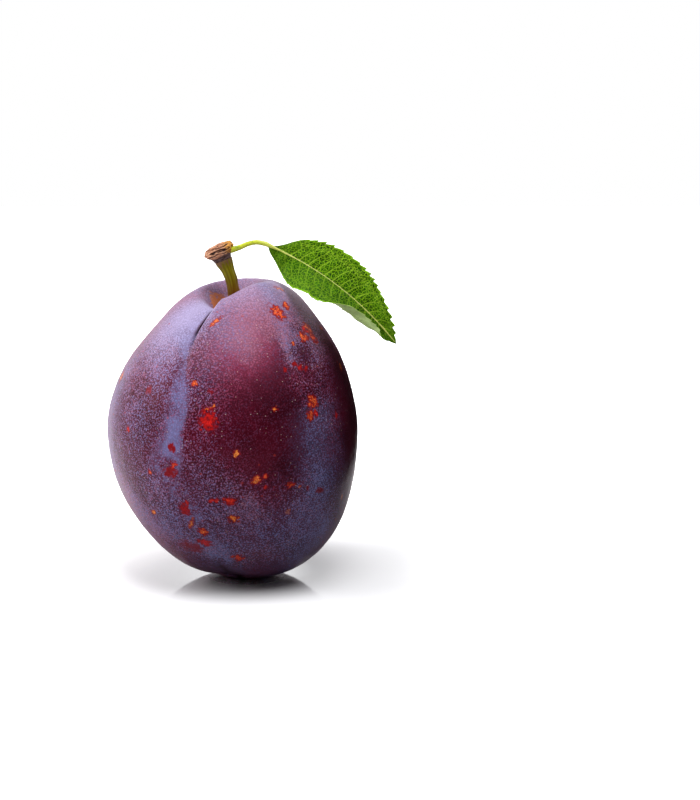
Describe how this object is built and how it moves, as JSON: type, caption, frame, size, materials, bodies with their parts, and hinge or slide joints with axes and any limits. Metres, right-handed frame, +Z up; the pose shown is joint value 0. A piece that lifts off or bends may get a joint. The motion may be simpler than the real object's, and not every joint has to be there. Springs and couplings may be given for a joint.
{
  "type": "plum",
  "caption": "Ripe oval European plum standing on a small flat spot, with its suture groove, stem cavity, curved stalk, woody spur knob and a folded leaf.",
  "frame": {"origin": "middle of the small flat spot on the underside that the plum rests on", "axes": "+Z up, towards the stalk; the front is -Y, with the suture groove about 20 degrees left of it; +X to the right, towards the leaf's tip"},
  "size_m": [0.0576, 0.0474, 0.0686],
  "materials": {
    "plum_skin": "satin",
    "stalk_green": "satin",
    "spur_wood": "matte",
    "leaf_green": "satin"
  },
  "bodies": {
    "root": {"fruit": "plum_skin", "stem": "stalk_green", "spur_knob": "spur_wood", "leaf": "leaf_green"}
  },
  "joints": []
}
